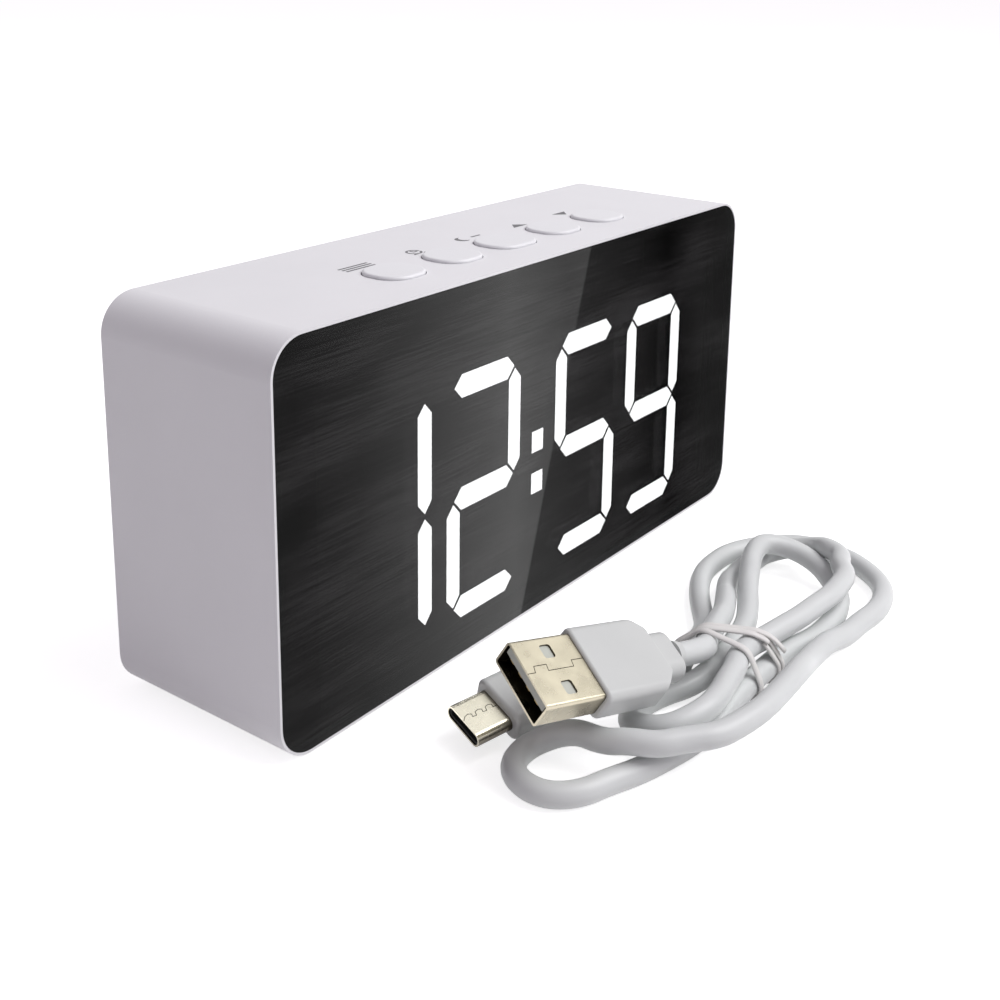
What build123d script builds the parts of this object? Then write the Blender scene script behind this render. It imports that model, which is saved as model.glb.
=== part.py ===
from build123d import *
from math import dist, pi
import os

# Desk clock with a mirror front, lit segment digits, five top keys and a loose charging cable.
# Millimetres. X runs along the width, the front faces -Y, +Z is up.
# The origin is on the table, under the middle of the case.

# Case
case_width = 140.0
case_height = 68.0
case_depth = 38.0
case_corner = 6.5
wall = 2.0
foot_proud = 0.6
foot_radius = 5.0
foot_seat = 0.4
foot_inset_x = 12.0
foot_inset_y = 8.0
foot_gap = 0.1
overrun = 1.0

# Front
lens_thickness = 1.5
tape_thickness = 0.2
tape_inset = 0.2
rim_width = 0.45
rim_gap = 0.05
tape_lap = 0.6
flange_side = 7.0
flange_edge = 1.6
flange_thickness = 1.6

# Screws and posts
screw_shank = 0.95
screw_head = 1.9
screw_head_height = 1.2
screw_gap = 0.05
board_screw_length = 4.5
rear_screw_length = 8.0
rear_screw_sink = 1.5
column_radius = 3.3
column_inset = 2.8
post_radius = 2.5

# Display
digit_left_margin = 6.9
digit_right_margin = 11.1
digit_low_margin = 1.85
digit_high_margin = 3.85
digit_space = 3.95
colon_space = 11.1
upright_bar = 3.6
level_bar = 4.3
bar_end_gap = 0.9
bar_side_gap = 0.4
bar_taper = 2.0
colon_width = 3.6
colon_height = 4.2
colon_spread = 8.2
colon_drop = 0.1
segment_gap = 0.05
segment_depth = 3.7
reflector_depth = 5.0
reflector_margin = 0.5
reflector_key_gap = 0.6
board_thickness = 1.2
board_edge_gap = 1.0
board_notch_height = 5.0
display_post_inset = 3.7
display_post_rise = 11.4
display_post_drop = 16.6
led_length = 1.6
led_width = 0.8
driver_length = 10.0
driver_width = 4.0
driver_height = 1.5

# Keys
key_names = ["mode", "alarm", "snooze", "up", "down"]
key_pitch = 15.6
key_row_x = 2.1
key_row_y = -6.0
key_width = 10.4
snooze_width = 12.0
key_depth = 10.0
key_corner = 4.4
key_proud = 0.6
key_round = 0.45
key_gap = 0.2
key_travel = 0.6
key_rest_gap = 0.3
key_flange_lip = 1.2
key_flange = 1.0
key_stem_radius = 1.8
key_stem = 2.2
plunger_radius = 1.7
plunger_gap = 0.1
plunger_height = 2.6
plunger_proud = 1.0
switch_size = 6.0
switch_height = 3.4
switch_bore_spare = 0.2
key_board_end = 12.6
key_board_width = 14.0
key_post_inset = 4.0

# Rear
cover_thickness = 2.4
cover_gap = 0.15
door_width = 58.0
door_height = 37.4
door_thickness = 1.6
door_gap = 0.2
door_side_gap = 8.0
door_drop = 2.6
door_corner = 1.6
pin_radius = 0.6
pin_gap = 0.07
pin_length = 1.5
notch_width = 12.0
notch_depth = 0.9
notch_height = 4.0
bay_width = 53.6
bay_height = 33.4
bay_wall = 1.2
cell_radius = 5.25
cell_length = 43.3
cell_gap = 0.15
cell_nub_radius = 1.9
cell_nub = 1.0
contact_thickness = 0.4
contact_width = 7.0
leaf_reach = 6.0
leaf_thickness = 0.5

# Main board
main_left_gap = 14.0
main_right_gap = 7.0
main_low_gap = 7.4
main_high_gap = 12.6
main_standoff = 6.6
main_post_inset = 3.5
chip_size = 7.0
chip_height = 1.4
chip_ribbon_gap = 2.5
crystal_radius = 1.5
crystal_length = 6.5
buzzer_radius = 6.0
buzzer_height = 5.6
buzzer_inset_x = 13.0
buzzer_inset_z = 12.0
sound_hole_radius = 0.6
sound_hole_pitch = 2.6
port_offset = 2.0
port_rise = 8.0
port_width = 8.9
port_height = 3.2
port_wall = 0.3
port_sink = 0.5
port_gap = 0.25
port_tongue_width = 6.6
port_tongue_thickness = 0.7
port_tongue_sink = 0.8

# Wiring
ribbon_thickness = 0.4
ribbon_width = 12.0
ribbon_bend = 3.0
ribbon_inset = 2.0
ribbon_rise = 10.0
key_ribbon_x = -22.0
key_ribbon_y = -3.0
key_ribbon_drop = 7.0
wire_radius = 0.6
wire_bend = 2.0
wire_run = 4.8
wire_reach = 6.0
wire_spread = 16.0

# Cable, lying on the table in a hank beside the case
cable_diameter = 4.0
floor_level = 2.05
upper_level = 6.75
tied_level = 2.85
gap_step = 0.5
gap_skip = 11.0
tie_width = 2.4
tie_thickness = 0.4
tie_gap = 0.15
tie_far_x = -11.6
tie_far_y = -50.0
tie_near_y = -72.0
tie_spacing = 2.6
tie_angles = [-4.0, 19.0]
straight_share = 1 - 1e-9
level_turn = 1e-9

# Large plug, placed by its nose
large_nose = (-51.6, -50.2, 18.0)
large_turn = (166.7, 12.2, -28.8)
large_width = 12.0
large_height = 4.5
large_length = 12.0
large_wall = 0.35
large_corner = 0.6
large_tongue_width = 10.6
large_tongue_height = 1.4
large_tongue_sink = 0.3
large_window = 2.4
large_window_length = 2.2
large_window_corner = 0.5
large_window_spread = 6.5
large_window_back = 6.0
large_seam_step = 1.1
large_seam_shares = [(0, 0), (0.12, 0), (0.15, -1), (0.36, -1), (0.34, 0), (0.77, 0), (0.79, -1), (1, -1)]
seam_width = 0.12
seam_depth = 0.15
large_mould_width = 13.8
large_mould_height = 5.8
large_mould_length = 16.0
large_mould_corner = 1.4
large_mould_shoulder = 3.2
large_mould_round = 0.6
large_relief_width = 8.6
large_relief_height = 4.8
large_relief_corner = 2.2
large_relief_round = 0.8
large_relief_body = 4.5
contact_strip_width = 1.0
contact_strip_height = 0.15
contact_strip_length = 8.0
contact_strip_pitch = 2.4

# Small plug
small_nose = (-48.1, -36.6, 4.0)
small_turn = (165.5, -3.0, -16.3)
small_width = 8.3
small_height = 2.5
small_length = 6.7
small_wall = 0.3
small_lip = 0.35
small_bore = 5.2
small_mould_width = 11.0
small_mould_height = 5.2
small_mould_length = 13.9
small_mould_corner = 1.8
small_mould_round = 0.7
small_seam_step = 0.8
small_seam_shares = [
    (0, 0), (0.1, -0.8), (0.2, -1), (0.28, -0.7), (0.26, 0), (0.36, 0.1), (0.4, -0.8), (0.5, -1), (0.58, -0.7),
    (0.56, 0), (0.66, 0.1), (0.7, -0.8), (0.8, -1), (0.88, -0.7), (0.86, 0), (1, 0),
]
small_relief_length = 4.0
large_relief_length = 6.0
relief_radius = 2.6
relief_end_radius = 2.3

# Places worked out from the sizes above
front = -case_depth / 2
back = case_depth / 2
shell_front = front + lens_thickness + tape_thickness
lens_inset = rim_width + rim_gap
mid_z = foot_proud + case_height / 2
top = foot_proud + case_height
ceiling = top - wall
inside_floor = foot_proud + wall
inside_x = case_width / 2 - wall
opening_width = case_width - 2 * wall - 2 * flange_side
opening_height = case_height - 2 * wall - 2 * flange_edge
inner_corner = case_corner - wall
cover_front = back - cover_thickness
reflector_back = shell_front + reflector_depth
display_back = reflector_back + board_thickness
reflector_width = opening_width - 2 * reflector_margin
reflector_low = mid_z - opening_height / 2 + reflector_margin
switch_top = ceiling - key_rest_gap - key_flange - key_stem - plunger_proud
key_board_top = switch_top - switch_height
key_board_bottom = key_board_top - board_thickness
key_flange_top = ceiling - key_rest_gap
key_board_length = (len(key_names) - 1) * key_pitch + key_width + 2 * key_board_end
key_post_x = key_board_length / 2 - key_post_inset
reflector_high = key_board_bottom - screw_head_height - reflector_key_gap
digit_width = (
    reflector_width - digit_left_margin - digit_right_margin - 2 * digit_space - colon_space
) / 4 - upright_bar
digit_reach = (reflector_high - reflector_low - digit_low_margin - digit_high_margin - level_bar) / 2
digit_z = reflector_low + digit_low_margin + level_bar / 2 + digit_reach
digit_pitch = digit_width + upright_bar + digit_space
middle_pitch = digit_width + upright_bar + colon_space
digit_x = digit_left_margin + digit_pitch + (digit_width + upright_bar + middle_pitch - reflector_width) / 2
upright_length = digit_reach - bar_end_gap
level_length = digit_width - bar_side_gap
main_back = cover_front - main_standoff
main_front = main_back - board_thickness
door_front = back - door_thickness
door_x = door_side_gap + door_width / 2 - inside_x
door_z = mid_z - door_drop
door_top = door_z + door_height / 2
hinge_y = back - door_thickness / 2
hinge_z = door_top - door_thickness / 2
cell_y = door_front - 3 * cell_gap - cell_radius
bay_floor = cell_y - cell_radius - cell_gap
bay_front = bay_floor - bay_wall
column_places = [
    (side * (inside_x - column_inset), z)
    for side in (-1, 1)
    for z in (inside_floor + column_inset, ceiling - column_inset)
]
display_post_places = [
    (side * (inside_x - display_post_inset), z)
    for side in (-1, 1)
    for z in (inside_floor + display_post_rise, ceiling - display_post_drop)
]
key_post_places = [(side * key_post_x + key_row_x, key_row_y) for side in (-1, 1)]
key_places = [key_row_x + (n - (len(key_names) - 1) / 2) * key_pitch for n in range(len(key_names))]
main_left = door_x + bay_width / 2 + bay_wall + main_left_gap
main_right = inside_x - main_right_gap
main_low = inside_floor + main_low_gap
main_high = ceiling - main_high_gap
main_x = (main_left + main_right) / 2
main_z = (main_low + main_high) / 2
main_width = main_right - main_left
main_height = main_high - main_low
buzzer_x = main_right - buzzer_inset_x
buzzer_z = main_high - buzzer_inset_z
port_x = main_x - port_offset
port_z = main_low + port_rise
ribbon_x = main_left + ribbon_inset + ribbon_width / 2
chip_x = ribbon_x + ribbon_width / 2 + chip_ribbon_gap + chip_size / 2
main_post_places = [
    (main_x + sx * (main_width / 2 - main_post_inset), main_z + sz * (main_height / 2 - main_post_inset))
    for sx in (-1, 1)
    for sz in (-1, 1)
]
cell_pitch = 2 * cell_radius + 2 * cell_gap
cell_rows = [door_z + step * cell_pitch for step in (-1, 0, 1)]


def slab(outline, y_front, y_back):
    """A flat outline, drawn in X and Z, made solid between two depths."""
    seat = Plane(origin=(0, y_back, 0), x_dir=(1, 0, 0), z_dir=(0, -1, 0))
    return extrude(seat * outline, amount=y_back - y_front, dir=(0, -1, 0))


def pillar(outline, z_low, z_high):
    """A flat outline, drawn in X and Y, made solid between two heights."""
    return extrude(Plane.XY.offset(z_low) * outline, amount=z_high - z_low, dir=(0, 0, 1))


def beam(outline, x_left, x_right):
    """A flat outline, drawn in Y and Z, made solid between two places along X."""
    return extrude(Plane.YZ.offset(x_left) * outline, amount=x_right - x_left, dir=(1, 0, 0))


def case_outline(inset, corner):
    return Pos(0, mid_z) * RectangleRounded(case_width - 2 * inset, case_height - 2 * inset, corner)


def front_opening():
    return Pos(0, mid_z) * Rectangle(opening_width, opening_height)


def key_width_of(name):
    return snooze_width if name == "snooze" else key_width


def key_outline(name, x, grow):
    width = key_width_of(name) + 2 * grow
    return Pos(x, key_row_y) * RectangleRounded(width, key_depth + 2 * grow, key_corner + grow)


def foot_places():
    x = case_width / 2 - foot_inset_x
    y = case_depth / 2 - foot_inset_y
    return [(sx * x, sy * y) for sx in (-1, 1) for sy in (-1, 1)]


def housing():
    """The white shell: four walls, the rim round the lens, the flange, the columns and the posts."""
    shell = slab(case_outline(0, case_corner), front, back)
    shell -= slab(case_outline(rim_width, case_corner - rim_width), front - overrun, shell_front)
    shell -= slab(case_outline(wall, inner_corner), shell_front + flange_thickness, back + overrun)
    shell -= slab(front_opening(), shell_front - overrun, shell_front + flange_thickness + overrun)
    for x, z in column_places:
        shell += slab(Pos(x, z) * Circle(column_radius), shell_front + flange_thickness, cover_front)
    for x, z in display_post_places:
        shell += slab(Pos(x, z) * Circle(post_radius), shell_front + flange_thickness, reflector_back)
    for x, y in key_post_places:
        shell += pillar(Pos(x, y) * Circle(post_radius), key_board_top, ceiling)
    for x, z in column_places:
        hole = Pos(x, z) * Circle(screw_shank + screw_gap)
        shell -= slab(hole, back - rear_screw_sink - rear_screw_length - overrun, back)
    for x, z in display_post_places:
        hole = Pos(x, z) * Circle(screw_shank + screw_gap)
        shell -= slab(hole, display_back - board_screw_length - screw_gap, display_back)
    for x, y in key_post_places:
        hole = Pos(x, y) * Circle(screw_shank + screw_gap)
        shell -= pillar(hole, key_board_bottom, key_board_bottom + board_screw_length + screw_gap)
    for name, x in zip(key_names, key_places):
        shell -= pillar(key_outline(name, x, key_gap), ceiling - overrun, top + overrun)
    for x, y in foot_places():
        shell -= pillar(Pos(x, y) * Circle(foot_radius + foot_gap), 0, foot_proud + foot_seat)
    return shell


def front_lens():
    return slab(case_outline(lens_inset, case_corner - lens_inset), front, front + lens_thickness)


def display_window(grow):
    """The rectangle that the digit block fills, drawn larger or smaller."""
    middle = Pos(0, (reflector_low + reflector_high) / 2)
    return middle * Rectangle(reflector_width + 2 * grow, reflector_high - reflector_low + 2 * grow)


def lens_tape():
    """The black tape frame that holds the lens to the housing, open over the digit block."""
    inset = lens_inset + tape_inset
    ring = case_outline(inset, case_corner - inset)
    return slab(ring - display_window(-tape_lap), front + lens_thickness, shell_front)


def foot_pads():
    return [
        pillar(Pos(x, y) * Circle(foot_radius), 0, foot_proud + foot_seat) for x, y in foot_places()
    ]


def hexagon(length, thickness, taper):
    """A bar lying along X with a point at each end."""
    half = length / 2
    side = thickness / 2
    return Polygon(
        (-half, 0),
        (-half + taper, side),
        (half - taper, side),
        (half, 0),
        (half - taper, -side),
        (-half + taper, -side),
        align=None,
    )


def digit_bars(centre, inset):
    """The seven bars of one digit, by their usual letters, each drawn smaller by the inset."""
    level = hexagon(level_length - 2 * inset, level_bar - 2 * inset, bar_taper)
    upright = Rot(0, 0, 90) * hexagon(upright_length - 2 * inset, upright_bar - 2 * inset, bar_taper)
    left = centre - digit_width / 2
    right = centre + digit_width / 2
    return {
        "a": Pos(centre, digit_z + digit_reach) * level,
        "g": Pos(centre, digit_z) * level,
        "d": Pos(centre, digit_z - digit_reach) * level,
        "f": Pos(left, digit_z + digit_reach / 2) * upright,
        "b": Pos(right, digit_z + digit_reach / 2) * upright,
        "e": Pos(left, digit_z - digit_reach / 2) * upright,
        "c": Pos(right, digit_z - digit_reach / 2) * upright,
    }


digit_centres = [
    digit_x - middle_pitch / 2 - digit_pitch,
    digit_x - middle_pitch / 2,
    digit_x + middle_pitch / 2,
    digit_x + middle_pitch / 2 + digit_pitch,
]
lit_bars = ["bc", "abged", "afgcd", "abcdfg"]


def colon_dots(inset):
    dot = Rectangle(colon_width - 2 * inset, colon_height - 2 * inset)
    middle = digit_z - colon_drop
    return [Pos(digit_x, middle + side * colon_spread / 2) * dot for side in (-1, 1)]


def fill(outline):
    return slab(outline, shell_front, shell_front + segment_depth)


def lit_segments(number):
    bars = digit_bars(digit_centres[number], segment_gap)
    return [fill(bars[letter]) for letter in lit_bars[number]]


def unlit_segments():
    solids = []
    for number, centre in enumerate(digit_centres):
        bars = digit_bars(centre, segment_gap)
        solids += [fill(bars[letter]) for letter in bars if letter not in lit_bars[number]]
    return solids


def digit_reflector():
    """The black block whose windows shape the digits."""
    block = slab(display_window(0), shell_front, reflector_back)
    for centre in digit_centres:
        for bar in digit_bars(centre, 0).values():
            block -= slab(bar, shell_front - overrun, reflector_back + overrun)
    for dot in colon_dots(0):
        block -= slab(dot, shell_front - overrun, reflector_back + overrun)
    return block


def segment_leds():
    """One small lamp behind the middle of every window."""
    lamps = []
    for centre in digit_centres:
        for letter, bar in digit_bars(centre, 0).items():
            place = bar.center()
            long_x = letter in "adg"
            size = (led_length, led_width) if long_x else (led_width, led_length)
            lamps.append((place.X, place.Y, size))
    for dot in colon_dots(0):
        lamps.append((dot.center().X, dot.center().Y, (led_width, led_length)))
    return [
        slab(Pos(x, z) * Rectangle(*size), reflector_back - led_width, reflector_back)
        for x, z, size in lamps
    ]


def display_board():
    wide = 2 * (inside_x - board_edge_gap)
    low = reflector_low + board_notch_height
    outline = display_window(0)
    outline += Pos(0, (low + reflector_high) / 2) * Rectangle(wide, reflector_high - low)
    for x, z in display_post_places:
        outline -= Pos(x, z) * Circle(screw_shank + screw_gap)
    return slab(outline, reflector_back, display_back)


def display_driver():
    chip = Pos(digit_x, digit_z) * Rectangle(driver_length, driver_width)
    return slab(chip, display_back, display_back + driver_height)


def button(name, x):
    """A key cap: the raised pad, the flange that keeps it in, and its stem."""
    pad = pillar(key_outline(name, x, 0), key_flange_top, top + key_proud)
    pad = fillet(pad.edges().group_by(Axis.Z)[-1], key_round)
    pad += pillar(key_outline(name, x, key_flange_lip), key_flange_top - key_flange, key_flange_top)
    stem = Pos(x, key_row_y) * Circle(key_stem_radius)
    return pad + pillar(stem, switch_top + plunger_proud, key_flange_top - key_flange)


def plunger(x):
    high = switch_top + plunger_proud
    return pillar(Pos(x, key_row_y) * Circle(plunger_radius), high - plunger_height, high)


def key_switches():
    low = switch_top + plunger_proud - plunger_height - key_travel - switch_bore_spare
    solids = []
    for x in key_places:
        body = pillar(Pos(x, key_row_y) * Rectangle(switch_size, switch_size), key_board_top, switch_top)
        bore = Pos(x, key_row_y) * Circle(plunger_radius + plunger_gap)
        solids.append(body - pillar(bore, low, switch_top + overrun))
    return solids


def key_board():
    outline = Pos(key_row_x, key_row_y) * Rectangle(key_board_length, key_board_width)
    for x, y in key_post_places:
        outline -= Pos(x, y) * Circle(screw_shank + screw_gap)
    return pillar(outline, key_board_bottom, key_board_top)


def door_outline(grow):
    """The door's outline, square at the hinge edge."""
    outline = Rectangle(door_width + 2 * grow, door_height + 2 * grow)
    low_corners = outline.vertices().group_by(Axis.Y)[0]
    return Pos(door_x, door_z) * fillet(low_corners, door_corner)


def rear_cover():
    """The back plate with the battery bay, the posts for the main board and the port opening."""
    plate = slab(case_outline(wall + cover_gap, inner_corner - cover_gap), cover_front, back)
    bay = Pos(door_x, door_z) * Rectangle(bay_width, bay_height)
    bay_out = Pos(door_x, door_z) * Rectangle(bay_width + 2 * bay_wall, bay_height + 2 * bay_wall)
    plate += slab(bay_out, bay_front, cover_front)
    plate -= slab(bay, bay_floor, back + overrun)
    plate -= slab(door_outline(door_gap), door_front, back + overrun)
    notch = Pos(door_x, door_z - door_height / 2 - notch_height / 2) * Rectangle(notch_width, notch_height)
    plate -= slab(notch, back - notch_depth, back + overrun)
    hole = Pos(hinge_y, hinge_z) * Circle(pin_radius + pin_gap)
    reach = door_width / 2 + pin_length + pin_gap
    plate -= beam(hole, door_x - reach, door_x + reach)
    for x, z in main_post_places:
        plate += slab(Pos(x, z) * Circle(post_radius), main_back, cover_front)
    for x, z in main_post_places:
        hole = Pos(x, z) * Circle(screw_shank + screw_gap)
        plate -= slab(hole, main_front, main_front + board_screw_length + screw_gap)
    for x, z in column_places:
        plate -= slab(Pos(x, z) * Circle(screw_shank + 2 * screw_gap), cover_front - overrun, back)
        plate -= slab(Pos(x, z) * Circle(screw_head + screw_gap), back - rear_screw_sink, back + overrun)
    port = RectangleRounded(port_width + 2 * port_gap, port_height + 2 * port_gap, port_height / 2)
    plate -= slab(Pos(port_x, port_z) * port, cover_front - overrun, back + overrun)
    for column in (-1, 0, 1):
        for row in (-1, 0, 1):
            place = Pos(buzzer_x + column * sound_hole_pitch, buzzer_z + row * sound_hole_pitch)
            plate -= slab(place * Circle(sound_hole_radius), cover_front - overrun, back + overrun)
    return plate


def battery_door():
    """The door: a flat lid with a round hinge edge and a pin at each end of it."""
    lid = slab(door_outline(0), door_front, back)
    corner = Pos(hinge_y, hinge_z + door_thickness / 4) * Rectangle(door_thickness, door_thickness / 2)
    lid -= beam(corner, door_x - door_width / 2, door_x + door_width / 2)
    edge = Pos(hinge_y, hinge_z) * Circle(door_thickness / 2)
    lid += beam(edge, door_x - door_width / 2, door_x + door_width / 2)
    pin = Pos(hinge_y, hinge_z) * Circle(pin_radius)
    reach = door_width / 2 + pin_length
    return lid + beam(pin, door_x - reach, door_x + reach)


def cell(row):
    """One AAA cell with its raised end. Neighbours lie opposite ways round."""
    z = cell_rows[row]
    way = 1 if row % 2 == 0 else -1
    can = Pos(cell_y, z) * Circle(cell_radius)
    nub = Pos(cell_y, z) * Circle(cell_nub_radius)
    half = cell_length / 2
    body = beam(can, door_x - half, door_x + half)
    if way > 0:
        return body + beam(nub, door_x + half, door_x + half + cell_nub)
    return body + beam(nub, door_x - half - cell_nub, door_x - half)


def battery_plates():
    """The flat contacts that the raised ends touch."""
    solids = []
    for row, z in enumerate(cell_rows):
        way = 1 if row % 2 == 0 else -1
        wall_x = door_x + way * bay_width / 2
        flat = Pos(cell_y, z) * Rectangle(contact_width, contact_width)
        foot = door_x + way * (cell_length / 2 + cell_nub + cell_gap)
        solids.append(beam(flat, min(wall_x, foot), max(wall_x, foot)))
    return solids


def battery_springs():
    """Leaf contacts that press on the flat ends of the cells."""
    solids = []
    for row, z in enumerate(cell_rows):
        way = -1 if row % 2 == 0 else 1
        wall_x = door_x + way * bay_width / 2
        tip_x = door_x + way * (cell_length / 2 + cell_gap)
        foot = leaf_reach / 2
        leaf = Polygon(
            (wall_x, cell_y - foot),
            (tip_x, cell_y),
            (wall_x, cell_y + foot),
            (wall_x, cell_y + foot - leaf_thickness),
            (tip_x + way * 2 * leaf_thickness, cell_y),
            (wall_x, cell_y - foot + leaf_thickness),
            align=None,
        )
        solids.append(pillar(leaf, z - contact_width / 2, z + contact_width / 2))
    return solids


def main_board():
    outline = Pos(main_x, main_z) * Rectangle(main_width, main_height)
    for x, z in main_post_places:
        outline -= Pos(x, z) * Circle(screw_shank + screw_gap)
    return slab(outline, main_front, main_back)


def microcontroller():
    chip = Pos(chip_x, main_z) * Rectangle(chip_size, chip_size)
    return slab(chip, main_front - chip_height, main_front)


def clock_crystal():
    can = Pos(main_front - crystal_radius, main_z - chip_size) * Circle(crystal_radius)
    return beam(can, chip_x - crystal_length / 2, chip_x + crystal_length / 2)


def buzzer():
    body = slab(Pos(buzzer_x, buzzer_z) * Circle(buzzer_radius), main_back, main_back + buzzer_height)
    return body - slab(Pos(buzzer_x, buzzer_z) * Circle(sound_hole_radius),
                       main_back + buzzer_height - overrun, main_back + buzzer_height)


def usb_port_shell():
    outside = Pos(port_x, port_z) * RectangleRounded(port_width, port_height, port_height / 2 - port_wall / 2)
    inner_height = port_height - 2 * port_wall
    inside = RectangleRounded(port_width - 2 * port_wall, inner_height, inner_height / 2 - port_wall / 2)
    shell = slab(outside, main_back, back - port_sink)
    return shell - slab(Pos(port_x, port_z) * inside, main_back + 2 * port_wall, back)


def usb_port_tongue():
    tongue = Pos(port_x, port_z) * Rectangle(port_tongue_width, port_tongue_thickness)
    return slab(tongue, main_back + 2 * port_wall, back - port_sink - port_tongue_sink)


def rear_screws():
    solids = []
    for x, z in column_places:
        seat = back - rear_screw_sink
        head = slab(Pos(x, z) * Circle(screw_head), seat, seat + screw_head_height)
        solids.append(head + slab(Pos(x, z) * Circle(screw_shank), seat - rear_screw_length, seat))
    return solids


def board_screws():
    """Two screws hold the key board, four the display board and four the main board."""
    solids = []
    for x, y in key_post_places:
        head = pillar(Pos(x, y) * Circle(screw_head), key_board_bottom - screw_head_height, key_board_bottom)
        shank = Pos(x, y) * Circle(screw_shank)
        solids.append(head + pillar(shank, key_board_bottom, key_board_bottom + board_screw_length))
    for x, z in display_post_places:
        head = slab(Pos(x, z) * Circle(screw_head), display_back, display_back + screw_head_height)
        shank = Pos(x, z) * Circle(screw_shank)
        solids.append(head + slab(shank, display_back - board_screw_length, display_back))
    for x, z in main_post_places:
        head = slab(Pos(x, z) * Circle(screw_head), main_front - screw_head_height, main_front)
        shank = Pos(x, z) * Circle(screw_shank)
        solids.append(head + slab(shank, main_front, main_front + board_screw_length))
    return solids


def strip(points, bend, x):
    """A flat ribbon of the ribbon's width that follows points given in Y and Z."""
    path = FilletPolyline(*[(x, y, z) for y, z in points], radius=bend)
    start = Plane(origin=path @ 0, x_dir=(1, 0, 0), z_dir=path % 0)
    return sweep(start * Rectangle(ribbon_width, ribbon_thickness), path=path)


def display_ribbon():
    middle = (display_back + main_front) / 2
    low = digit_z - ribbon_rise
    points = [(display_back, low), (middle, low), (middle, digit_z), (main_front, digit_z)]
    return strip(points, ribbon_bend, ribbon_x)


def key_ribbon():
    drop = key_board_bottom - key_ribbon_drop
    points = [(key_ribbon_y, key_board_bottom), (key_ribbon_y, drop), (display_back, drop)]
    return strip(points, ribbon_bend, key_ribbon_x)


def battery_wire(z):
    """One insulated wire from the side of the bay to the front of the main board."""
    start_x = door_x + bay_width / 2 + bay_wall
    turn_x = start_x + wire_run
    end_x = main_x - main_width / 2 + wire_reach
    far_y = main_front - wire_run
    points = [
        (start_x, cell_y, z),
        (turn_x, cell_y, z),
        (turn_x, far_y, z),
        (end_x, far_y, z),
        (end_x, main_front, z),
    ]
    path = FilletPolyline(*points, radius=wire_bend)
    return sweep(Plane(origin=path @ 0, z_dir=path % 0) * Circle(wire_radius), path=path)


def plug_place(nose, turn):
    """Where a plug lies: its nose, then its heading, lift and roll in degrees."""
    heading, lift, roll = turn
    return Pos(*nose) * Rot(0, 0, heading) * Rot(0, -lift, 0) * Rot(roll, 0, 0)


def seam(shares, length, step, top):
    """The fine groove where a plug's rolled shell meets, cut into its upper face."""
    points = [(-along * length, across * step) for along, across in shares]
    return pillar(trace(Polyline(*points), line_width=seam_width), top - seam_depth, top + overrun)


def large_plug_shell():
    shell = beam(RectangleRounded(large_width, large_height, large_corner), -large_length, 0)
    inside = RectangleRounded(large_width - 2 * large_wall, large_height - 2 * large_wall,
                              large_corner - large_wall)
    shell -= beam(inside, -large_length + large_wall, overrun)
    for side in (-1, 1):
        window = Pos(-large_window_back, side * large_window_spread / 2)
        window *= RectangleRounded(large_window_length, large_window, large_window_corner)
        shell -= pillar(window, -large_height / 2 - overrun, large_height / 2 + overrun)
    return shell - seam(large_seam_shares, large_length, large_seam_step, large_height / 2)


def large_plug_tongue():
    high = large_height / 2 - large_wall
    tongue = Pos(0, high - large_tongue_height / 2) * Rectangle(large_tongue_width, large_tongue_height)
    return beam(tongue, -large_length + large_wall, -large_tongue_sink)


def large_plug_contacts():
    high = large_height / 2 - large_wall - large_tongue_height
    solids = []
    for number in range(4):
        across = (number - 3 / 2) * contact_strip_pitch
        strip_outline = Pos(across, high - contact_strip_height / 2) * Rectangle(
            contact_strip_width, contact_strip_height)
        solids.append(beam(strip_outline, -large_tongue_sink - contact_strip_length, -large_tongue_sink))
    return solids


def relief(start, length):
    """A tapered strain relief that runs back from a plug's body."""
    cone = Cone(relief_radius, relief_end_radius, length, align=(Align.CENTER, Align.CENTER, Align.MIN))
    return Pos(-start, 0, 0) * Rot(0, -90, 0) * cone


def large_relief(start):
    """The broad, rounded knob behind the large plug's body, and the short end on the cable."""
    outline = RectangleRounded(large_relief_width, large_relief_height, large_relief_corner)
    knob = beam(outline, -start - large_relief_body, -start)
    knob = fillet(knob.edges().group_by(Axis.X)[0], large_relief_round)
    return knob + relief(start + large_relief_body, large_relief_length - large_relief_body)


def large_plug_mould():
    outline = RectangleRounded(large_mould_width, large_mould_height, large_mould_corner)
    back_end = large_length + large_mould_length
    body = beam(outline, -back_end, -large_length)
    for side in (-1, 1):
        corner = Polygon(
            (-back_end, side * large_mould_width / 2),
            (-back_end, side * (large_mould_width / 2 - large_mould_shoulder)),
            (-back_end + large_mould_shoulder, side * large_mould_width / 2),
            align=None,
        )
        body -= pillar(corner, -large_mould_height, large_mould_height)
    ends = body.edges().group_by(Axis.X)
    body = fillet(ends[0] + ends[-1], large_mould_round)
    return body + large_relief(back_end)


def small_plug_shell():
    radius = small_height / 2 - small_wall / 10
    shell = beam(RectangleRounded(small_width, small_height, radius), -small_length, 0)
    inner_radius = radius - small_wall
    inside = RectangleRounded(small_width - 2 * small_wall, small_height - 2 * small_wall, inner_radius)
    shell -= beam(inside, -small_length, overrun)
    return shell - seam(small_seam_shares, small_length, small_seam_step, small_height / 2)


def small_plug_insert():
    radius = small_height / 2 - small_wall / 10 - small_wall
    outline = RectangleRounded(small_width - 2 * small_wall, small_height - 2 * small_wall, radius)
    insert = beam(outline, -small_length, -small_wall)
    bore_height = small_height - 2 * small_wall - 2 * small_lip
    bore_width = small_width - 2 * small_wall - 2 * small_lip
    bore = RectangleRounded(bore_width, bore_height, bore_height / 2 - small_wall / 10)
    return insert - beam(bore, -small_bore, overrun)


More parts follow.
